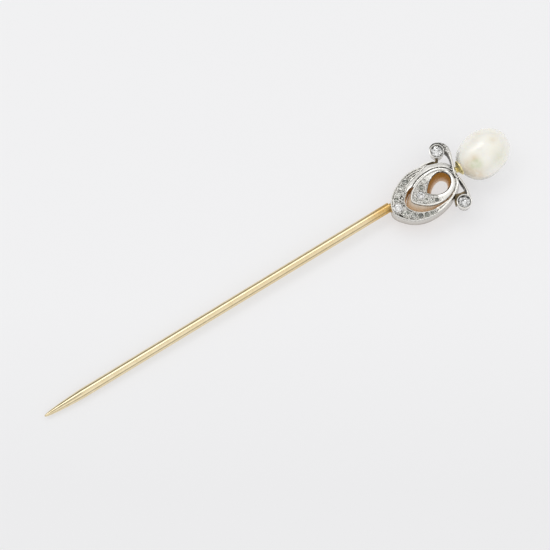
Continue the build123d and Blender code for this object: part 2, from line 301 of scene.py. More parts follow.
def pierced_block(name, loops, lean, grime_and_painted_light, bottom, top, material):
    """Make a closed block whose walls move by lean and darken by painted shade.

    Both are functions of an outline's number, its points and the share of the depth.
    """
    rims = [resample(loop, WALL_STEP) for loop in loops]
    flat, triangles = triangulate(rims, np.empty((0, 2)))
    count = len(flat)
    nearest = np.array([int(np.argmin(np.hypot(*(np.vstack(rims) - p).T))) for p in flat])
    levels, shade = [], []
    for k in range(WALL_LAYERS):
        share = k / (WALL_LAYERS - 1)
        moved = np.vstack([rim + lean(i, rim, share) for i, rim in enumerate(rims)])
        dark = np.concatenate([grime_and_painted_light(i, rim, share) * np.ones(len(rim)) for i, rim in enumerate(rims)])
        shade.append(dark[nearest])
        levels.append(np.column_stack([moved[nearest], np.full(count, top + (bottom - top) * share)]))
    faces = [tuple(t) for t in triangles]
    last = (WALL_LAYERS - 1) * count
    faces += [(t[2] + last, t[1] + last, t[0] + last) for t in triangles]
    for a, b in border_edges(triangles):
        for k in range(WALL_LAYERS - 1):
            here, below = k * count, (k + 1) * count
            faces.append((b + here, a + here, a + below, b + below))
    obj = add_object(name, np.vstack(levels), faces, material, 40)
    set_dirt_and_painted_light(obj, np.concatenate(shade))
    return obj


def skirt(name, loop, thickness, flare, bottom, top, material):
    """Make a thin wall down from a level along an outline, spreading towards its foot and darker and warmer
    there with painted shade.
    """
    shares = [k / (SKIRT_LAYERS - 1) for k in range(SKIRT_LAYERS)]
    sides = [(share, 0.0) for share in shares] + [(share, thickness) for share in reversed(shares)]
    rings = [(inset(loop, deep - flare * share), top + (bottom - top) * share) for share, deep in sides]
    vertices = np.vstack([np.column_stack([ring, np.full(len(ring), z)]) for ring, z in rings])
    count = len(loop)
    faces = []
    for k in range(len(rings)):
        here, there = k * count, (k + 1) % len(rings) * count
        for i in range(count):
            j = (i + 1) % count
            face = (here + i, here + j, there + j, there + i)
            faces.append(face[::-1] if area(loop) > 0 else face)
    obj = add_object(name, vertices, faces, material, 50)
    set_dirt_and_painted_light(obj, np.repeat([share ** 2 for share, _ in sides], count))
    return obj


def lathe(name, profile, centre, axis, material, segments=96, closed=True, grime_and_painted_light=None):
    """Turn an (along, radius) profile about an axis through a point, with dirt and painted light by profile
    point.
    """
    along = Vector(axis).normalized()
    side = along.orthogonal().normalized()
    other = along.cross(side)
    vertices, faces, rings = [], [], []
    for s, r in profile:
        middle = Vector(centre) + along * s
        if r < 1e-6:
            rings.append([len(vertices)])
            vertices.append(middle)
            continue
        turns = [2 * math.pi * i / segments for i in range(segments)]
        rings.append(list(range(len(vertices), len(vertices) + segments)))
        vertices += [middle + side * (r * math.cos(t)) + other * (r * math.sin(t)) for t in turns]
    pairs = list(zip(rings, rings[1:]))
    if closed and len(rings[0]) > 1 and len(rings[-1]) > 1:
        pairs.append((rings[-1], rings[0]))
    for a, b in pairs:
        for i in range(segments):
            j = (i + 1) % segments
            quad = [a[i % len(a)], a[j % len(a)], b[j % len(b)], b[i % len(b)]]
            face = list(dict.fromkeys(quad))
            if len(face) > 2:
                faces.append(face)
    obj = add_object(name, vertices, faces, material, 40)
    if grime_and_painted_light:
        set_dirt_and_painted_light(obj, [value for ring, value in zip(rings, grime_and_painted_light) for _ in ring])
    return obj


def icosphere(detail):
    """Return the directions of an icosphere's vertices, and its faces."""
    bm = bmesh.new()
    bmesh.ops.create_icosphere(bm, subdivisions=detail, radius=1.0)
    bm.verts.index_update()
    directions = np.array([tuple(v.co.normalized()) for v in bm.verts])
    faces = [[v.index for v in f.verts] for f in bm.faces]
    bm.free()
    return directions, faces


def balls(name, centres, radii, material, detail=2):
    """Make one object of small round grains."""
    directions, faces = icosphere(detail)
    vertices = np.vstack([directions * radius + centre for centre, radius in zip(centres, radii)])
    starts = range(0, len(vertices), len(directions))
    return add_object(name, vertices, [[v + start for v in face] for start in starts for face in faces],
                      material, SMOOTH)


# ---- materials
def fill(tree, node, sockets):
    """Fill a node's sockets, by name or number, with values or with other nodes' outputs."""
    for socket, value in sockets.items():
        if isinstance(value, bpy.types.NodeSocket):
            tree.links.new(value, node.inputs[socket])
        else:
            node.inputs[socket].default_value = value


def new_node(tree, kind, output, sockets, **settings):
    """Add a node with its settings and filled sockets, and return one of its outputs."""
    node = tree.nodes.new("ShaderNode" + kind)
    for setting, value in settings.items():
        setattr(node, setting, value)
    fill(tree, node, sockets)
    return node.outputs[output]


def new_material(name, values):
    """Return a node material and its shader, with values for the shader's sockets."""
    material = bpy.data.materials.new(name)
    material.use_nodes = True
    shader = material.node_tree.nodes["Principled BSDF"]
    fill(material.node_tree, shader, values)
    return material, material.node_tree, shader


def coordinates(tree, stretch=(1, 1, 1)):
    """Return object coordinates in millimetres, stretched per axis."""
    where = new_node(tree, "TexCoord", "Object", {})
    return new_node(tree, "Mapping", "Vector", {"Vector": where, "Scale": [s / MM for s in stretch]})


def noise(tree, vector, scale, detail=4, roughness=0.55):
    """Return the factor of a noise texture."""
    return new_node(tree, "TexNoise", "Fac", {
        "Vector": vector, "Scale": scale, "Detail": detail, "Roughness": roughness})


def spread(tree, factor, low, high, start=0.3, end=0.7, curve="LINEAR"):
    """Map a factor to a range of values."""
    return new_node(tree, "MapRange", "Result", {
        "Value": factor, "From Min": start, "From Max": end, "To Min": low, "To Max": high,
    }, interpolation_type=curve)


def ramp(tree, factor, stops):
    """Return a colour ramp over a factor."""
    node = tree.nodes.new("ShaderNodeValToRGB")
    while len(node.color_ramp.elements) < len(stops):
        node.color_ramp.elements.new(0.5)
    for element, (place, colour) in zip(node.color_ramp.elements, stops):
        element.position = place
        element.color = (*colour, 1)
    tree.links.new(factor, node.inputs["Fac"])
    return node.outputs["Color"]


def attribute(tree, name):
    """Return a mesh attribute."""
    return new_node(tree, "Attribute", "Fac", {}, attribute_name=name)


def combine(tree, operation, *terms, clamp=False):
    """Return the result of a math node whose terms are sockets or numbers."""
    return new_node(tree, "Math", "Value", dict(enumerate(terms)), operation=operation, use_clamp=clamp)


def tinted(tree, colour, tint, amount):
    """Return a colour mixed with a tint by an amount."""
    return new_node(tree, "Mix", "Result", {"Factor": amount, "A": colour, "B": (*tint, 1)},
                    data_type="RGBA")


def bump(tree, factor, strength, depth_mm):
    """Return the normal of a surface with a fine height."""
    return new_node(tree, "Bump", "Normal", {
        "Height": factor, "Strength": strength, "Distance": depth_mm * MM})


def metal(name, dark, light, rough, scratch, depth=0.01, grime_and_painted_light=None, speckle=(0.25, 1.45),
          metallic=1.0, painted_glow=0.0):
    """Return a worn polished metal: toned colour, patchy gloss, fine scratches, dirt and painted shade in
    hollows, and an optional painted glow.
    """
    material, tree, shader = new_material(name, {
        "Metallic": metallic, "Emission Color": (1.0, 0.6, 0.2, 1), "Emission Strength": painted_glow})
    plain = coordinates(tree)
    colour = ramp(tree, noise(tree, plain, 1.6, 5), [(0.30, dark), (0.70, light)])
    gloss = spread(tree, noise(tree, plain, 5.0, 6, 0.65), *rough)
    if grime_and_painted_light:
        specks = spread(tree, noise(tree, plain, 6.0, 3), *speckle, 0.35, 0.62)
        amount = combine(tree, "MULTIPLY", attribute(tree, "dirt_and_painted_light"), specks, clamp=True)
        colour = tinted(tree, colour, grime_and_painted_light, amount)
        gloss = combine(tree, "MULTIPLY_ADD", amount, DIRT_DULLS, gloss)
    scratches = noise(tree, coordinates(tree, scratch), 1.0, 6, 0.7)
    fill(tree, shader, {
        "Base Color": colour, "Roughness": gloss, "Normal": bump(tree, scratches, 0.35, depth)})
    return material


DIRT_DULLS = 0.25             # roughness that full dirt and painted shade adds
DRAWN = (0.8, 22, 22)         # scratches per axis: of a wire drawn along X, and of cast and buffed metal
CAST = (9, 9, 9)
POLISHED = (12, 12, 12)
gold_stem = metal(
    "gold_stem", (0.85, 0.74, 0.49), (0.94, 0.84, 0.61), (0.04, 0.10), DRAWN,
    grime_and_painted_light=(0.66, 0.40, 0.11), speckle=(0.8, 1.1))
# the gallery gold's faint orange glow is painted light on its shaded walls and gap
gold_body = metal(
    "gold_body", (0.88, 0.77, 0.65), (0.93, 0.84, 0.74), (0.34, 0.48), CAST,
    grime_and_painted_light=(0.42, 0.180, 0.006), speckle=(0.8, 1.15), metallic=0.4, painted_glow=0.035)
gold_cup = metal("gold_cup", (0.90, 0.74, 0.30), (1.0, 0.90, 0.50), (0.20, 0.34), CAST, metallic=0.65)
# a dark, shaded copy of gold: painted shade on the link straps
shaded_gold = metal("shaded_gold", (0.07, 0.055, 0.030), (0.24, 0.18, 0.10), (0.28, 0.42), CAST)
white_metal = metal(
    "white_metal", (0.84, 0.82, 0.77), (0.96, 0.945, 0.91), (0.12, 0.26), POLISHED, 0.008,
    grime_and_painted_light=(0.040, 0.036, 0.028), speckle=(-0.05, 1.6))
# a darker copy of the white metal: painted shade on the side wall
shaded_side_metal = metal(
    "shaded_side_metal", (0.64, 0.615, 0.57), (0.72, 0.695, 0.65), (0.20, 0.34), POLISHED,
    grime_and_painted_light=(0.44, 0.395, 0.36), speckle=(0.5, 1.1))
white_grain = metal("white_grain", (0.84, 0.825, 0.78), (0.95, 0.94, 0.91), (0.10, 0.20), (14, 14, 14))
FIRE_CELLS = 2.7              # cells of painted fire, darker and lighter reflections, in a stone for each millimetre


def diamond_material(name, dark_fire, clear, spread_from, spread_to, gleam):
    """Return clear stone whose depth is painted in cells of darker and lighter fire that stand in for
    reflections.
    """
    material, tree, shader = new_material(name, {
        "Roughness": 0.0, "IOR": 2.417, "Specular IOR Level": gleam, "Transmission Weight": 1.0})
    cells = new_node(tree, "TexVoronoi", "Color", {"Scale": FIRE_CELLS, "Vector": coordinates(tree)})
    fill(tree, shader, {"Base Color": ramp(tree, cells, [(spread_from, dark_fire), (spread_to, clear)])})
    return material


def nacre_material():
    """Return cream nacre with pink and green overtones in soft patches, a painted shadow on the flank and a
    faint painted glow.
    """
    # the faint emission is a painted glow that brightens the nacre
    material, tree, shader = new_material("nacre", {
        "IOR": 1.65, "Subsurface Weight": 0.2, "Subsurface Radius": (1.0, 0.85, 0.65),
        "Subsurface Scale": 0.5 * MM, "Coat Weight": 0.9, "Coat Roughness": 0.14,
        "Emission Color": (1.0, 0.97, 0.88, 1), "Emission Strength": 0.055})
    where = coordinates(tree)
    colour = ramp(
        tree, noise(tree, where, 0.35, 3),
        [(0.32, (0.98, 0.95, 0.84)), (0.50, (1.0, 0.98, 0.90)), (0.68, (0.98, 0.94, 0.86))],
    )
    for name, tint in (("pink", (0.80, 0.66, 0.47)), ("green", (0.60, 0.67, 0.42)),
                       ("painted_flank_shadow", (0.22, 0.20, 0.17))):
        patchy = spread(tree, noise(tree, where, 0.9, 3), 0.35, 1.0)
        amount = combine(tree, "MULTIPLY", attribute(tree, name), patchy, clamp=True)
        colour = tinted(tree, colour, tint, amount)
    fill(tree, shader, {
        "Base Color": colour, "Roughness": spread(tree, noise(tree, where, 1.1, 4), 0.16, 0.26),
        "Normal": bump(tree, noise(tree, where, 2.2, 5), 0.25, 0.010)})
    return material


diamond_look = diamond_material("diamond", (0.40, 0.41, 0.405), (1.0, 1.0, 0.995), 0.20, 0.36, 0.5)
small_diamond_look = diamond_material(
    "diamond_small", (0.03, 0.035, 0.02), (1.0, 1.0, 0.93), 0.32, 0.42, 0.25)
nacre_look = nacre_material()


# ---- outlines of the head
FACET_SOFTENING = 0.05
HOLE_SOFTENING = 0.02         # the same for the small drilled holes
GALLERY_SLICE = 0.55          # clear of the stem's seat and of the hole for the peg
plate_low, plate_high = box_mm("crescent_top")
ring_low, ring_high = box_mm("ring_top")
PLATE_BASE = plate_low[2]
PLATE_TOP = plate_high[2]
RING_BASE = ring_low[2]
RING_TOP = ring_high[2]


def smooth_outline(node, level, which=0):
    """Return one outline of a CAD node with its facets smoothed away."""
    return resample(slice_loops(node, level)[which], 0.02, FACET_SOFTENING)


outer_line = smooth_outline("crescent_gallery", GALLERY_SLICE)
void_line = smooth_outline("crescent_gallery", GALLERY_SLICE, 1)
ring_line = smooth_outline("ring_gallery", GALLERY_SLICE)
hole_line = smooth_outline("ring_gallery", GALLERY_SLICE, 1)
crescent_line = smooth_outline("crescent_top", PLATE_TOP - 0.01)
band_line = smooth_outline("left_band", 0.5 * (PLATE_BASE + PLATE_TOP))
left_scroll_line = smooth_outline("left_scroll", box_mm("left_scroll")[1][2] - 0.05)
right_scroll_line = smooth_outline("right_scroll", box_mm("right_scroll")[1][2] - 0.05)

# ---- places of the stones
GIRDLE_SHARE = 0.42 / 0.62    # part of a stone's depth that lies below the girdle
COLLET_SINK = 0.15            # the collets' stones sit this much deeper than the CAD stones
SEAT_RATIO = 0.475            # radius of a stone's seat as a share of the stone's diameter
stones = {}
for node in sorted(n for n in nodes if n.endswith("_diamond") or "_diamond_" in n):
    low, high = box_mm(node)
    centre = 0.5 * (low + high)
    girdle = low[2] + GIRDLE_SHARE * (high[2] - low[2])
    if "collet" in node:
        girdle -= COLLET_SINK
    stones[node] = (centre[0], centre[1], girdle, high[0] - low[0])


def seat_circles(start):
    """Return the openings that a plate has for its stones."""
    circles = []
    for node, (x, y, _, diameter) in stones.items():
        if node.startswith(start):
            turns = np.linspace(0, 2 * math.pi, max(24, int(diameter * 48)), endpoint=False)
            circles.append(np.column_stack([x + SEAT_RATIO * diameter * np.cos(turns),
                                            y + SEAT_RATIO * diameter * np.sin(turns)]))
    return circles


# ---- face plates
RIM_RISE = 0.14               # how far a border stands above its plate
LINE_PITCH = 0.285            # engraved lines and the double border, centre to centre
LINE_START = 0.05             # middle of the first engraved line, from the loop's outside
BAND_CUT = 0.25               # line cut along the left ribbon, from the ring
CUT_WIDTH = 0.07              # half width of that line
BORDER = 0.075                # middle of a plate's border, from its edge
BORDER_WIDTH = 0.10           # half width of a border
LIP_PLACE = 0.045             # middle of the collar round a stone, beyond its seat
LIP_WIDTH = 0.06              # half width of the collar
LIP_RISE = 0.9                # height of the collar as a share of a border's


def ridge(gap, centre, half_width):
    """Return a rounded ridge of height 1 at a distance from an edge."""
    return np.clip(1 - ((gap - centre) / half_width) ** 2, 0, 1) ** 0.6


def lips(points, start):
    """Return the raised collars cut round the stones of one plate."""
    rise = np.zeros(len(points))
    for node, (x, y, _, diameter) in stones.items():
        if node.startswith(start):
            from_seat = np.hypot(points[:, 0] - x, points[:, 1] - y) - SEAT_RATIO * diameter
            rise = np.maximum(rise, ridge(from_seat, LIP_PLACE, LIP_WIDTH))
    return LIP_RISE * rise


# where the crescent's right arm becomes plain
LAST_STONE = stones["crescent_right_diamond_5"][0] + 0.5 * stones["crescent_right_diamond_5"][3]
RIBBON_DOME = 0.12            # how far a scroll's edges lie below its back


def crescent_height(points, edge_distance):
    """Borders round the stones, doubled on the left, and engraved lines on the left arm."""
    x, y = points.T
    from_outside = distance(points, outer_line)
    border = ridge(edge_distance, BORDER, BORDER_WIDTH)
    second = ridge(from_outside, LINE_START + LINE_PITCH, 0.085) * smooth_step(y, -1.5, -0.7)
    fluted = smooth_step(x, 4.10, 4.30) * smooth_step(y, 0.5, 0.8)
    plain_arm = smooth_step(x, LAST_STONE + 0.25, LAST_STONE + 0.55) * smooth_step(-y, 0.5, 0.8)
    lines = (np.cos(math.pi * (from_outside - LINE_START) / LINE_PITCH) ** 2) ** 0.7
    face = np.maximum(border, second) * (1 - fluted) + np.maximum(border, lines) * fluted
    face = np.maximum(face, plain_arm * (0.9 - 0.8 * ridge(from_outside, LINE_START + LINE_PITCH, 0.06)))
    return RIM_RISE * np.maximum(face, lips(points, "crescent"))


def band_height(points, edge_distance):
    """A polished ribbon with a raised border, a little hollow along its middle, and a cut line."""
    edge = np.sqrt(np.clip(edge_distance / 0.05, 0, 1))
    cut = ridge(distance(points, ring_line), BAND_CUT, CUT_WIDTH)
    return 0.07 * edge * np.exp(-edge_distance / 0.20) + 0.06 * edge - 0.10 * cut


def ring_height(points, edge_distance):
    """Borders round the stones below, a grooved left arm and a domed ribbon on the right arm."""
    x, y = points.T
    from_outside = distance(points, ring_line)
    rightness = smooth_step(-y, -0.1, 0.6)
    right_arm = smooth_step(x, 5.9, 6.5) * rightness
    left_arm = smooth_step(x, 5.8, 6.3) * (1 - rightness)
    border = np.maximum(ridge(edge_distance, BORDER, BORDER_WIDTH), ridge(from_outside, 0.12, 0.16))
    border = np.maximum(border, lips(points, "ring"))
    dome = 1.15 * (1 - np.exp(-edge_distance / 0.10))
    groove = np.maximum(border, 0.9) - 0.8 * ridge(from_outside, BAND_CUT, CUT_WIDTH)
    return RIM_RISE * (border * (1 - right_arm - left_arm) + dome * right_arm + groove * left_arm)


def ribbon_height(points, edge_distance):
    """A narrow ribbon with a rounded back, its edges RIBBON_DOME below the middle."""
    return RIBBON_DOME * np.sqrt(np.clip(edge_distance, 0, RIBBON_DOME) / RIBBON_DOME) - RIBBON_DOME


def shade_under(plate, line, reach, strength, covers=True, offset=0.0):
    """Paint shade on a plate at an offset from a line, and inside the line if a ribbon covers it."""
    mesh = plate.data
    places = np.array([(v.co.x / MM, v.co.y / MM) for v in mesh.vertices])
    near = strength * (1 - smooth_step(abs(distance(places, line) - offset), 0.1 * reach, reach))
    if covers:
        near[inside(places, [line])] = strength
    values = np.empty(len(mesh.loops), np.float32)
    mesh.attributes["dirt_and_painted_light"].data.foreach_get("value", values)
    store(mesh, "dirt_and_painted_light", "CORNER", np.maximum(values, near[corner_vertices(mesh)]))


crescent_plate = relief(
    "crescent_plate", [crescent_line], PLATE_TOP, PLATE_BASE, crescent_height, white_metal, 0.03,
    seat_circles("crescent"), painted_wall_shade=0.45, deepest=0.80)
finish_piece(crescent_plate, "white_metal", "crescent_top")
band_plate = relief(
    "band_plate", [band_line], PLATE_TOP, PLATE_BASE, band_height, white_metal, 0.035, depth=None,
    deepest=0.14)
# painted shade under the scrolls, along the ring's edge and in the band's cut line
shade_under(band_plate, left_scroll_line, 0.65, 1.0)
shade_under(crescent_plate, right_scroll_line, 0.35, 0.8)
shade_under(crescent_plate, ring_line, 0.14, 1.3, covers=False)
shade_under(band_plate, ring_line, 0.07, 0.75, covers=False)
shade_under(band_plate, ring_line, 0.09, 2.0, covers=False, offset=BAND_CUT)
finish_piece(band_plate, "white_metal", "left_band")
ring_plate = relief(
    "ring_plate", [ring_line, hole_line], RING_TOP, RING_BASE, ring_height, white_metal, 0.03,
    seat_circles("ring"), deepest=0.50)
# painted shade under the left scroll and along the hole's edge
shade_under(ring_plate, left_scroll_line, 0.35, 0.9)
shade_under(ring_plate, hole_line, 0.13, 1.4, covers=False)
finish_piece(ring_plate, "white_metal", "ring_top")


def keel(side, start):
    """Return the underside of a scroll, which reaches deeper from a distance to its own side."""
    away = 1 if side == "left" else -1
    level = box_mm(f"{side}_scroll")[0][2]
    return lambda points: level - KEEL * smooth_step(away * points[:, 1], start, start + 0.5)


COLLET_SLICE = 1.0            # clear of the collet's seat and rim
KEEL = 0.80                   # depth of the scrolls away from the crossing
for side, line, start in (("left", left_scroll_line, 0.0), ("right", right_scroll_line, 2.0)):
    low, high = box_mm(f"{side}_scroll")
    # the ribbons' walls carry painted shade, and so does the left ribbon where it passes its collet
    ribbon = relief(
        f"{side}_ribbon", [line], high[2], keel(side, start), ribbon_height, white_metal, 0.03,
        depth=None, painted_wall_shade=2.0, deepest=0.10)
    if side == "left":
        shade_under(ribbon, smooth_outline("left_collet", COLLET_SLICE), 1.1, 0.75)
    finish_piece(ribbon, "white_metal", f"{side}_scroll")

# ---- gold underbody and side
SKIRT = 0.05                  # thickness of the white metal wall round the outer loop
SKIRT_FLARE = 0.10            # how far that wall spreads at its foot
GAP_CLEARANCE = 0.16          # left open between the ring's foot and the outer loop's wall
HOLE_FLARE = 0.05             # the drilled holes widen this much towards the back
LIT_SIDE = (0.45, 0.89)       # plan direction in which the hole's wall spreads least


def crescent_lean(number, rim, share):
    """Walls follow the skirt outside and lean into the gap; holes under the stones flare."""
    if number == 0:
        return inset(rim, SKIRT - SKIRT_FLARE * share) - rim
    if number == 1:
        open_side = smooth_step(distance(rim, ring_line), 0.03, 0.4)[:, None]
        return (inset(rim, 1.0) - rim) * (0.14 * share * open_side)
    return inset(rim, -HOLE_FLARE * share) - rim


def crescent_wall_shade(number, rim, share):
    """The gap's wall gets painted shade only in its left corner."""
    if number == 1:
        return smooth_step(rim[:, 1], -0.6, 0.1) * smooth_step(-rim[:, 0], -5.5, -3.0)
    return 0.9


def ring_lean(number, rim, share):
    """The ring's walls spread towards the back, to near the outer loop and into the hole."""
    inward = inset(rim, 1.0) - rim
    if number == 0:
        reach = np.clip(distance(rim, void_line) - GAP_CLEARANCE, 0, 0.70)[:, None]
        return -inward * reach * share ** 0.65
    if number == 1:
        lit = 0.5 - 0.5 * (inward[:, 0] * LIT_SIDE[0] + inward[:, 1] * LIT_SIDE[1])
        return inward * (0.16 + 0.52 * lit)[:, None] * share ** 1.1
    return inset(rim, -HOLE_FLARE * share) - rim


def ring_wall_shade(number, rim, share):
    """The hole's wall gets painted shade, dark brown under the plate and clearing towards the back."""
    if number == 0:
        corner = smooth_step(rim[:, 1], -1.0, -0.1) * smooth_step(-rim[:, 0], -4.6, -2.9)
        return corner * 0.15 * share
    if number == 1:
        return max(0.0, 1.3 - 0.72 * share - 0.40 * share ** 4)
    return 0.3


def gallery_loops(node):
    """Return every outline of a gallery, softened, with the stem's socket left out."""
    softening = [FACET_SOFTENING] * 2
    loops = slice_loops(node, GALLERY_SLICE)
    softening += [HOLE_SOFTENING] * (len(loops) - 2)
    return [resample(loop, 0.03, soften) for loop, soften in zip(loops, softening)]


for piece, node, lean, grime_and_painted_light in (("crescent_body", "crescent_gallery", crescent_lean, crescent_wall_shade),
                                ("ring_body", "ring_gallery", ring_lean, ring_wall_shade)):
    low, high = box_mm(node)
    body = pierced_block(piece, gallery_loops(node), lean, grime_and_painted_light, low[2], high[2], gold_body)
    finish_piece(body, "yellow_gold", node)
side_wall = skirt("crescent_side", resample(outer_line, WALL_STEP), SKIRT, SKIRT_FLARE, 0.0, PLATE_BASE,
                  shaded_side_metal)
finish_piece(side_wall, "white_metal")


# ---- diamonds
SMALL_STONE = 1.0             # stones up to this diameter get darker painted fire
WEAR = 0.03                   # facet corners lie this share of the radius off their true places


def brilliant(name, centre, girdle_level, diameter, turn, node):
    """Make an old-cut stone: table, stars, kites, halves, girdle, pavilion mains and a culet."""
    r = diameter / 2
    fold = 8
    table, crown, girdle, pavilion, culet = 0.54, 0.16, 0.03, 0.42, 0.11
    vertices, faces = [], []

    def ring(radius, level, offset, count):
        start = len(vertices)
        for i in range(count):
            angle = turn + 2 * math.pi * (i + offset) / count
            x, y = radius * math.cos(angle), radius * math.sin(angle)
            vertices.append((centre[0] + x, centre[1] + y, level))
        return [start + i for i in range(count)]

    top = girdle_level + (girdle + crown) * diameter
    upper = girdle_level + girdle * diameter
    table_ring = ring(table * r, top, 0, fold)
    kite_ring = ring(0.5 * (1 + table) * r * 0.985, upper + 0.52 * crown * diameter, 0.5, fold)
    girdle_top = ring(r, upper, 0, 2 * fold)
    girdle_low = ring(r, girdle_level, 0, 2 * fold)
    main_ring = ring(0.56 * r, girdle_level - 0.47 * pavilion * diameter, 0.5, fold)
    culet_ring = ring(culet * r, girdle_level - pavilion * diameter, 0, fold)
    for i in main_ring + kite_ring:
        vertices[i] = tuple(c + r * random.uniform(-WEAR, WEAR) for c in vertices[i])
    faces.append(table_ring)
    for i in range(fold):
        j = (i + 1) % fold
        g = 2 * i
        faces.append((table_ring[j], table_ring[i], kite_ring[i]))
        faces.append((kite_ring[i - 1], girdle_top[g], kite_ring[i], table_ring[i]))
        faces.append((kite_ring[i], girdle_top[g], girdle_top[g + 1]))
        faces.append((kite_ring[i], girdle_top[g + 1], girdle_top[(g + 2) % (2 * fold)]))
        faces.append((main_ring[i], girdle_low[g + 1], girdle_low[g]))
        faces.append((main_ring[i], girdle_low[(g + 2) % (2 * fold)], girdle_low[g + 1]))
        faces.append((culet_ring[i], main_ring[i], girdle_low[g], main_ring[i - 1]))
        faces.append((culet_ring[j], main_ring[i], culet_ring[i]))
    for k in range(2 * fold):
        m = (k + 1) % (2 * fold)
        faces.append((girdle_top[k], girdle_low[k], girdle_low[m], girdle_top[m]))
    faces.append(culet_ring[::-1])
    look = diamond_look if diameter > SMALL_STONE else small_diamond_look
    return finish_piece(face_outwards(add_object(name, vertices, faces, look, 0)), "diamond", node)


for node, (x, y, girdle, diameter) in stones.items():
    brilliant(f"{node}_cut", (x, y), girdle, diameter, random.uniform(0, math.pi / 4), node)


# ---- beads and millgrain
def beads_between(names, size):
    """Return bead places on both sides of each pair of neighbouring stones in a row."""
    places, radii = [], []
    for first, second in zip(names, names[1:]):
        x0, y0, level0, d0 = stones[first]
        x1, y1, level1, d1 = stones[second]
        gap = Vector((x1 - x0, y1 - y0))
        ahead = gap.normalized()
        side = Vector((-gap.y, gap.x)).normalized()
        share = d0 / (d0 + d1)
        middle = Vector((x0, y0)) + gap * share
        reach = 0.27 * min(d0, d1) + 0.9 * size
        for sign in (-1, 1):
            for forward in (-0.5, 0.5):
                spot = middle + side * sign * (reach + abs(forward) * size) + ahead * forward * 1.9 * size
                places.append((spot.x, spot.y, max(level0, level1) + 0.05))
                radii.append(size * random.uniform(0.85, 1.1))
    return places, radii


rows = [
    (["crescent_centre_diamond"] + [f"crescent_left_diamond_{i}" for i in range(1, 5)], 0.092),
    (["crescent_centre_diamond"] + [f"crescent_right_diamond_{i}" for i in range(1, 6)], 0.092),
    (["ring_centre_diamond"] + [f"ring_left_diamond_{i}" for i in range(1, 3)], 0.088),
    (["ring_centre_diamond"] + [f"ring_right_diamond_{i}" for i in range(1, 4)], 0.088),
    (["ring_point_diamond", "ring_centre_diamond"], 0.06),
]
bead_places, bead_radii = [], []
for row_names, size in rows:
    places, radii = beads_between(row_names, size)
    bead_places += places
    bead_radii += radii
finish_piece(balls("setting_beads", bead_places, bead_radii, white_grain), "white_metal")


def millgrain(name, loop, level, amount, keep, pitch=0.115, radius=0.05):
    """Make a row of tiny grains along a plate's border where keep(points) is true."""
    line = resample(inset(loop, amount), pitch, 0.05)
    line = line[keep(line)]
    places = [(x, y, level) for x, y in line]
    radii = radius * noise_source.uniform(0.88, 1.1, len(places))
    return finish_piece(balls(name, places, radii, white_grain, 1), "white_metal")


GRAIN_INSET = 0.075
millgrain("outer_millgrain", outer_line, PLATE_TOP + RIM_RISE, GRAIN_INSET,
          lambda p: inside(p, [crescent_line]) & ((p[:, 1] < 0) | (p[:, 0] < 7.2)) & (p[:, 0] < 8.9))
millgrain("gap_millgrain", void_line, PLATE_TOP + RIM_RISE, -GRAIN_INSET,
          lambda p: inside(p, [crescent_line]) & (p[:, 0] < 8.4))
millgrain("ring_millgrain", ring_line, RING_TOP + RIM_RISE, GRAIN_INSET, lambda p: p[:, 0] < 5.9)
millgrain("hole_millgrain", hole_line, RING_TOP + RIM_RISE, -GRAIN_INSET, lambda p: p[:, 0] < 6.4)

# ---- collets
for side in ("left", "right"):
    low, high = box_mm(f"{side}_collet")
    x, y = 0.5 * (low[0] + high[0]), 0.5 * (low[1] + high[1])
    r = 0.5 * (high[0] - low[0])
    _, _, girdle, size = stones[f"{side}_collet_diamond"]
    mouth = 0.49 * size
    bottom, top = low[2], high[2]
    profile = [                # height, radius and painted shade with dirt
        (bottom, 0.60 * r, 0.3), (bottom, 0.84 * r, 0.6), (bottom + 0.04, 0.865 * r, 0.5),
        (0.5 * (bottom + top), 0.91 * r, 0.2), (top - 0.30, 0.945 * r, 0.5), (top - 0.24, 0.955 * r, 0.7),
        (top - 0.18, 1.0 * r, 0.0), (top - 0.08, 1.0 * r, 0.0), (top - 0.02, 0.97 * r, 0.0),
        (top, 0.92 * r, 0.0), (top - 0.02, 0.86 * r, 0.0), (top - 0.07, 0.82 * r, 0.5),
        (top - 0.14, 0.80 * r, 1.0), (girdle + 0.06, mouth + 0.01, 1.0), (girdle + 0.01, 0.505 * size, 1.0),
        (girdle - 0.04, 0.505 * size, 0.8), (girdle - 0.30, 0.70 * r, 0.5), (bottom + 0.3, 0.62 * r, 0.3),
    ]
    tube = lathe(f"{side}_collet_tube", [p[:2] for p in profile], (x, y, 0), (0, 0, 1), white_metal,
                 grime_and_painted_light=[p[2] for p in profile])
    finish_piece(tube, "white_metal", f"{side}_collet")

# ---- pearl
pearl_low, pearl_high = box_mm("pearl")
pearl_centre = 0.5 * (pearl_low + pearl_high)
pearl_half = 0.5 * (pearl_high - pearl_low)

SWELLS = [                # direction on the pearl, spread and height against its size
    ((0.70, 0.66, 0.30), 0.55, 0.045), ((-0.52, -0.28, 0.80), 0.22, -0.045),
    ((0.45, 0.08, 0.89), 0.14, -0.020), ((0.30, -0.75, 0.60), 0.35, -0.020),
    ((-0.50, 0.70, 0.50), 0.30, -0.020), ((0.60, -0.20, -0.70), 0.40, -0.020),
    ((-0.44, -0.90, 0.00), 0.36, 0.100), ((-0.20, 0.85, -0.40), 0.30, -0.015),
]
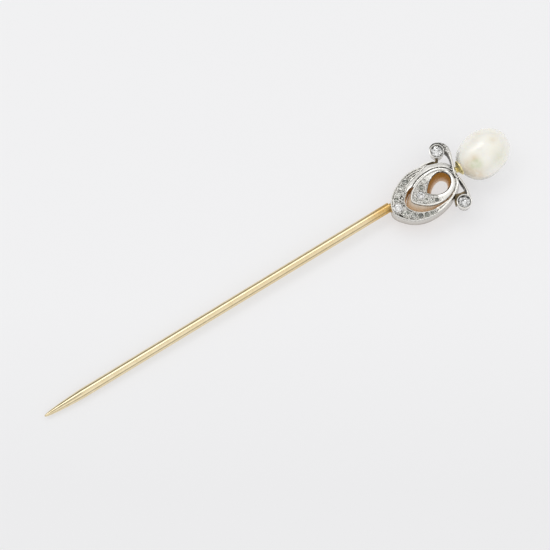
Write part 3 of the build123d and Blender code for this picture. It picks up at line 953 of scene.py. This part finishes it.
# the strongest pink spot, on the lower-right rim, is nacre tint and also painted shade along that edge
PINK_SPOTS = [            # direction, spread and strength
    ((-0.50, -0.21, 0.84), 0.14, 0.8), ((-0.73, -0.25, 0.63), 0.16, 0.9), ((0.45, 0.08, 0.89), 0.12, 0.6),
    ((-0.74, -0.62, 0.28), 0.26, 1.5), ((-0.95, -0.05, 0.30), 0.14, 0.7), ((0.10, 0.75, 0.60), 0.22, 0.35),
]
GREEN_SPOTS = [
    ((-0.49, -0.455, 0.74), 0.13, 1.2), ((-0.62, -0.36, 0.69), 0.13, 0.8), ((0.30, -0.70, 0.64), 0.22, 0.3),
]
DARK_SIDE = np.array((-0.44, -0.90, 0.0))    # on this side the flank over the table carries a painted shadow


def near_spots(directions, spots):
    """Return the summed strength of soft round spots at directions on the pearl."""
    total = np.zeros(len(directions))
    for centre, width, strength in spots:
        towards = np.array(Vector(centre).normalized())
        total += strength * np.exp(-(1 - directions @ towards) / (width * width))
    return total


def baroque_pearl():
    """Make the pearl: an uneven drop with a full shoulder, a swollen flank, a dent and dimples."""
    directions, faces = icosphere(7)
    shape = directions * (1 + near_spots(directions, SWELLS))[:, None] * pearl_half
    shape[:, 2] *= pearl_half[2] / max(pearl_half[2], -shape[:, 2].min())
    obj = add_object("pearl_skin", shape + pearl_centre, faces, nacre_look, SMOOTH)
    # painted shadow on the flank that faces the table
    painted_flank_shadow = smooth_step(-directions[:, 2], -0.28, 0.12) * np.clip(directions @ DARK_SIDE, 0, 1)
    store(obj.data, "pink", "POINT", np.clip(near_spots(directions, PINK_SPOTS), 0, 1))
    store(obj.data, "green", "POINT", np.clip(near_spots(directions, GREEN_SPOTS), 0, 1))
    store(obj.data, "painted_flank_shadow", "POINT", painted_flank_shadow)
    return obj


finish_piece(baroque_pearl(), "nacre", "pearl")

# ---- stem
stem_low, stem_high = box_mm("pin_stem")
STEM_RADIUS = 0.5 * (stem_high[2] - stem_low[2])
POINT_START = -46.4           # X where the filed point begins
POINT_CURVE = 0.42            # below 1, the point is rounded like a bullet
POINT_STEPS = 48
WIRE_STEPS = 160
SHOULDER = 0.30               # X where the wire ends in the head and the thinner tang begins


def drawn_stem():
    """Make the stem: a round wire filed by hand to a long point, with its tang."""
    tip = stem_low[0]
    profile = [(tip, 0.0)]
    for i in range(1, POINT_STEPS + 1):
        t = (i / POINT_STEPS) ** 2
        profile.append((tip + (POINT_START - tip) * t, STEM_RADIUS * t ** POINT_CURVE))
    for i in range(1, WIRE_STEPS + 1):
        x = POINT_START + (SHOULDER - POINT_START) * i / WIRE_STEPS
        profile.append((x, STEM_RADIUS * (1 - 0.004 * random.random())))
    profile += [(0.33, 0.40), (1.96, 0.40), (2.0, 0.36), (2.0, 0.0)]
    # painted reflection of the gold head near it, over the stem's own warm tone
    tone_and_head_reflection = [0.15 + 0.13 * float(smooth_step(x, -45, -8)) + 0.64 * float(smooth_step(x, -4.5, 0))
              for x, _ in profile]
    return lathe("stem_wire", profile, (0, 0, 0), (1, 0, 0), gold_stem, 64, False, tone_and_head_reflection)


finish_piece(drawn_stem(), "yellow_gold", "pin_stem")

# ---- links and the arm's tip
BEVEL = 0.04                  # height of a strap's bevelled edges


def strap(name, path, widths, bottom, top, material):
    """Make a low strap with bevelled edges along a plan path, its width given at each point."""
    count = 12 * (len(path) - 1) + 1
    places = np.linspace(0, len(path) - 1, count)
    spots = np.arange(len(path))
    line = np.column_stack([np.interp(places, spots, [p[i] for p in path]) for i in (0, 1)])
    wide = np.interp(places, spots, widths)
    for _ in range(4):
        line[1:-1] = 0.25 * line[:-2] + 0.5 * line[1:-1] + 0.25 * line[2:]
    ahead = np.gradient(line, axis=0)
    ahead /= np.hypot(ahead[:, 0], ahead[:, 1])[:, None]
    side = np.column_stack([-ahead[:, 1], ahead[:, 0]])
    shoulder = top - BEVEL
    section = [(-0.5, bottom), (0.5, bottom), (0.5, shoulder), (0.32, top), (-0.32, top), (-0.5, shoulder)]
    vertices, faces = [], []
    for point, across, width in zip(line, side, wide):
        vertices += [(*(point + across * width * share), z) for share, z in section]
    size = len(section)
    for i in range(count - 1):
        for k in range(size):
            m = (k + 1) % size
            faces.append((i * size + k, i * size + m, (i + 1) * size + m, (i + 1) * size + k))
    faces.append(tuple(reversed(range(size))))
    faces.append(tuple((count - 1) * size + k for k in range(size)))
    return face_outwards(add_object(name, vertices, faces, material, 40))


# the dark straps are painted shade; the right one reaches along the collet's side where its shade falls
link_low, link_high = box_mm("left_link_bar")
left_link = strap(
    "left_link", [(8.75, 1.95), (8.62, 1.58), (8.03, 1.72), (7.30, 1.90)], (0.36, 0.28, 0.22, 0.08),
    link_low[2], link_high[2], shaded_gold)
finish_piece(left_link, "yellow_gold", "left_link_bar")
right_link = strap(
    "right_link", [(9.46, -3.82), (8.83, -3.76), (8.25, -3.64), (7.88, -4.08), (7.58, -4.70)],
    (0.34, 0.34, 0.46, 0.38, 0.20), link_low[2], link_high[2], shaded_gold)
finish_piece(right_link, "yellow_gold", "right_link_bar")
arm_tip = strap(
    "left_arm_tip", [(6.40, 2.16), (7.05, 2.10), (7.65, 1.97), (8.22, 1.80)], (0.26, 0.22, 0.18, 0.10),
    link_high[2] - 0.1, PLATE_TOP, white_metal)
finish_piece(arm_tip, "white_metal")

# ---- CAD nodes that stay as made
for node in ("pearl_cup", "neck_bead", "pearl_peg"):
    nodes[node].data.materials.clear()
    nodes[node].data.materials.append(gold_cup)

# ---- floor, camera and lights
TAPER_START = -45.4           # X where the straight stem touches the table
pearl_bottom = pearl_low[2]
SLOPE = (-STEM_RADIUS - pearl_bottom) / (pearl_centre[0] - TAPER_START)
table_up = Vector((SLOPE, 0, 1)).normalized()
along_pin = Vector((1, 0, -SLOPE)).normalized()
across_pin = Vector((0, 1, 0))
floor_point = Vector((pearl_centre[0], pearl_centre[1], pearl_bottom - 0.01)) * MM

PIN_TURN = math.radians(32.04)
CAMERA_ELEVATION = math.radians(73)
FRAME_WIDTH = 70.72           # millimetres across the picture at the pin
CAMERA_DISTANCE = 500.0
SENSOR = 36.0
picture_right = along_pin * math.cos(PIN_TURN) - across_pin * math.sin(PIN_TURN)
picture_up = along_pin * math.sin(PIN_TURN) + across_pin * math.cos(PIN_TURN)
towards_camera = table_up * math.sin(CAMERA_ELEVATION) - picture_up * math.cos(CAMERA_ELEVATION)
camera_up = towards_camera.cross(picture_right).normalized()
AIM = Vector((-16.5, -8.4, 0.0)) - picture_right * 5.07 + camera_up * 6.63

camera_data = bpy.data.cameras.new("camera")
camera_data.sensor_width = SENSOR
camera_data.lens = SENSOR * CAMERA_DISTANCE / FRAME_WIDTH
camera_data.clip_start = 0.01
camera_data.clip_end = 10
camera = bpy.data.objects.new("camera", camera_data)
bpy.context.scene.collection.objects.link(camera)
bpy.context.scene.camera = camera
turn = Matrix((picture_right, camera_up, towards_camera)).transposed()
camera.matrix_world = Matrix.Translation((AIM + towards_camera * CAMERA_DISTANCE) * MM) @ turn.to_4x4()

PAPER_GLOW = (0.491, 0.526, -44, -20)    # the glow grows between two distances up the picture
bpy.ops.mesh.primitive_plane_add(size=3.0)
floor = bpy.context.active_object
floor.name = "floor"
floor_turn = Matrix((picture_right, picture_up, table_up)).transposed()
floor.matrix_world = Matrix.Translation(floor_point) @ floor_turn.to_4x4()
floor_material, floor_tree, floor_shader = new_material("paper", {
    "Roughness": 0.9, "Specular IOR Level": 0.1, "Base Color": (0.40, 0.40, 0.40, 1),
    "Emission Color": (0.995, 0.995, 1.015, 1)})
up_picture = new_node(floor_tree, "SeparateXYZ", "Y", {"Vector": coordinates(floor_tree)})
fill(floor_tree, floor_shader, {"Emission Strength": spread(floor_tree, up_picture, *PAPER_GLOW)})
floor.data.materials.append(floor_material)
floor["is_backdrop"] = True


def soft_light(name, right, up, height, size, power):
    """Place a softbox by its offset from the pin in millimetres, its long side along the pin."""
    data = bpy.data.lights.new(name, "AREA")
    data.shape = "RECTANGLE"
    data.size, data.size_y = size[0] * MM, size[1] * MM
    data.energy = power
    lamp = bpy.data.objects.new(name, data)
    bpy.context.scene.collection.objects.link(lamp)
    place = picture_right * right + picture_up * up + table_up * height
    back = place.normalized()
    long_side = (along_pin - back * along_pin.dot(back)).normalized()
    turned = Matrix((long_side, back.cross(long_side), back)).transposed()
    lamp.matrix_world = Matrix.Translation((AIM + place) * MM) @ turned.to_4x4()


soft_light("key", right=-275, up=266, height=645, size=(700, 250), power=0.68)


def studio_world():
    """Surround the pin with a pale tent, brightest overhead, with lighter and darker patches."""
    world = bpy.data.worlds.new("studio")
    world.use_nodes = True
    tree = world.node_tree
    where = new_node(tree, "TexCoord", "Generated", {})

    def patch(direction, inner, outer, strength):
        """Return a soft round patch: full strength inside one angle, none outside another."""
        near = new_node(tree, "VectorMath", "Value", {0: where, 1: direction.normalized()},
                        operation="DOT_PRODUCT")
        edges = [math.cos(math.radians(angle)) for angle in (outer, inner)]
        return spread(tree, near, 0.0, strength, *edges, curve="SMOOTHSTEP")

    pin_left = camera_up * math.cos(PIN_TURN) - picture_right * math.sin(PIN_TURN)

    def off_camera(angle):
        """Return the direction an angle from the camera, positive towards the pin's left side."""
        swing = math.radians(angle)
        return towards_camera * math.cos(swing) + pin_left * math.sin(swing)

    total = patch(table_up, 30, 98, TENT_TOP)
    for angle, inner, outer, strength in PATCHES:
        total = combine(tree, "ADD", total, patch(off_camera(angle), inner, outer, strength))
    fill(tree, tree.nodes["Background"], {
        "Strength": combine(tree, "ADD", total, TENT_BASE), "Color": (1.0, 1.0, 0.995, 1)})
    bpy.context.scene.world = world


TENT_BASE = 0.30              # strength of the tent all round
TENT_TOP = 0.63               # added overhead
PATCHES = [                   # degrees from the camera, core, edge and strength
    (-38, 8, 26, 0.20),
    (20, 5, 14, -0.62),
    (-4, 4, 13, -0.45),
    (78, 5, 18, -0.45),
]
studio_world()
bpy.context.scene.view_settings.view_transform = "Standard"
bpy.context.scene.view_settings.look = "None"

low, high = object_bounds()
